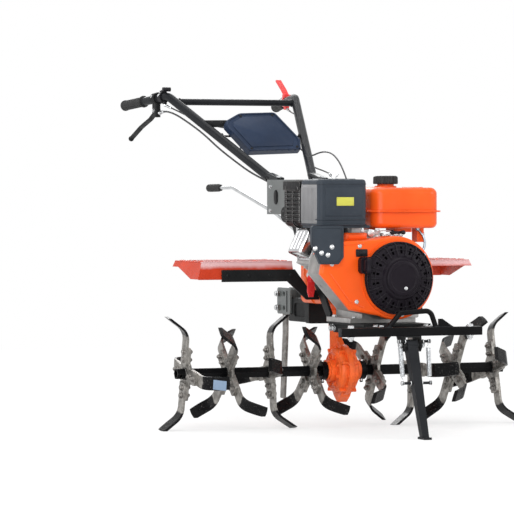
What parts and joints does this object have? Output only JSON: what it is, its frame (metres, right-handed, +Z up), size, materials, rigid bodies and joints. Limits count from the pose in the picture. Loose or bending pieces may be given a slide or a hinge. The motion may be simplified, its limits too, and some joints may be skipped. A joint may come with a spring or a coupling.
{
  "type": "rotary tiller",
  "caption": "Walk-behind rotary tiller with an engine, gear case, two gangs of bent tines, front stand, fenders and tilting handlebars.",
  "frame": {"origin": "middle of the bounding box on the ground it stands on", "axes": "+X to the operator's left, +Y to the rear where the operator walks, +Z up"},
  "size_m": [1.1588, 1.7688, 1.0797],
  "materials": {
    "output_shaft": "machined",
    "left_rotor_tube": "gloss",
    "right_rotor_tube": "gloss",
    "left_inner_tines": "rolled, black tips",
    "right_inner_tines": "rolled, black tips",
    "left_second_tines": "rolled, black tips",
    "right_second_tines": "rolled, black tips",
    "left_third_tines": "rolled, black tips",
    "right_third_tines": "rolled, black tips",
    "left_outer_tines": "rolled, black tips",
    "right_outer_tines": "rolled, black tips",
    "drive_pins": "zinc plated",
    "gearbox_lower": "painted",
    "gearbox_upper": "painted",
    "clutch_housing": "cast",
    "engine_block": "cast",
    "cylinder_head": "cast",
    "fan_shroud": "gloss",
    "recoil_cover": "satin",
    "fuel_tank": "gloss",
    "fuel_cap": "satin",
    "air_cleaner": "satin",
    "muffler": "heat proof",
    "exhaust_pipe": "polished",
    "carburettor": "cast",
    "engine_frame": "satin",
    "front_bumper": "gloss",
    "stand_bracket": "satin",
    "front_stand": "gloss",
    "stand_pivot_pin": "zinc plated",
    "right_stand_spring": "zinc plated",
    "left_stand_spring": "zinc plated",
    "rear_hitch": "satin",
    "hitch_plate": "painted grey",
    "drag_stake": "worn grey",
    "right_fender": "gloss",
    "left_fender": "gloss",
    "right_fender_bracket": "satin",
    "left_fender_bracket": "satin",
    "gear_lever": "zinc plated",
    "gear_knob": "satin",
    "handlebar_support": "satin",
    "handlebar_bracket": "grey satin",
    "tilt_bolt": "black",
    "left_handle": "gloss",
    "right_handle": "gloss",
    "left_grip": "matt",
    "right_grip": "matt",
    "cross_bar": "gloss",
    "control_panel": "satin",
    "panel_bracket": "satin",
    "clutch_lever": "painted",
    "throttle_lever": "satin",
    "reverse_lever": "gloss",
    "clutch_cable": "satin",
    "throttle_cable": "satin",
    "reverse_cable": "satin"
  },
  "bodies": {
    "machine": {"gearbox_lower": "gearbox_lower", "gearbox_upper": "gearbox_upper", "clutch_housing": "clutch_housing", "engine_block": "engine_block", "cylinder_head": "cylinder_head", "fan_shroud": "fan_shroud", "recoil_cover": "recoil_cover", "fuel_tank": "fuel_tank", "fuel_cap": "fuel_cap", "air_cleaner": "air_cleaner", "muffler": "muffler", "exhaust_pipe": "exhaust_pipe", "carburettor": "carburettor", "engine_frame": "engine_frame", "front_bumper": "front_bumper", "stand_bracket": "stand_bracket", "stand_pivot_pin": "stand_pivot_pin", "right_stand_spring": "right_stand_spring", "left_stand_spring": "left_stand_spring", "rear_hitch": "rear_hitch", "hitch_plate": "hitch_plate", "drag_stake": "drag_stake", "right_fender": "right_fender", "left_fender": "left_fender", "right_fender_bracket": "right_fender_bracket", "left_fender_bracket": "left_fender_bracket", "gear_lever": "gear_lever", "gear_knob": "gear_knob", "handlebar_support": "handlebar_support"},
    "rotor": {"output_shaft": "output_shaft", "left_rotor_tube": "left_rotor_tube", "right_rotor_tube": "right_rotor_tube", "left_inner_tines": "left_inner_tines", "right_inner_tines": "right_inner_tines", "left_second_tines": "left_second_tines", "right_second_tines": "right_second_tines", "left_third_tines": "left_third_tines", "right_third_tines": "right_third_tines", "left_outer_tines": "left_outer_tines", "right_outer_tines": "right_outer_tines", "drive_pins": "drive_pins"},
    "stand": {"front_stand": "front_stand"},
    "handlebars": {"handlebar_bracket": "handlebar_bracket", "tilt_bolt": "tilt_bolt", "left_handle": "left_handle", "right_handle": "right_handle", "left_grip": "left_grip", "right_grip": "right_grip", "cross_bar": "cross_bar", "control_panel": "control_panel", "panel_bracket": "panel_bracket", "clutch_lever": "clutch_lever", "throttle_lever": "throttle_lever", "reverse_lever": "reverse_lever", "clutch_cable": "clutch_cable", "throttle_cable": "throttle_cable", "reverse_cable": "reverse_cable"}
  },
  "joints": [
    {"name": "rotor_spin", "type": "hinge", "parent": "machine", "child": "rotor", "pos_m": [0, -0.2744, 0.17], "axis": [1, 0, 0], "continuous": true},
    {"name": "stand_fold", "type": "hinge", "parent": "machine", "child": "stand", "pos_m": [0, -0.7634, 0.268], "axis": [1, 0, 0], "range_deg": [0, 88], "deforming": ["right_stand_spring", "left_stand_spring"]},
    {"name": "handlebar_tilt", "type": "hinge", "parent": "machine", "child": "handlebars", "pos_m": [0, -0.1044, 0.64], "axis": [1, 0, 0], "range_deg": [-8, 10], "deforming": ["clutch_cable", "throttle_cable", "reverse_cable"]}
  ]
}
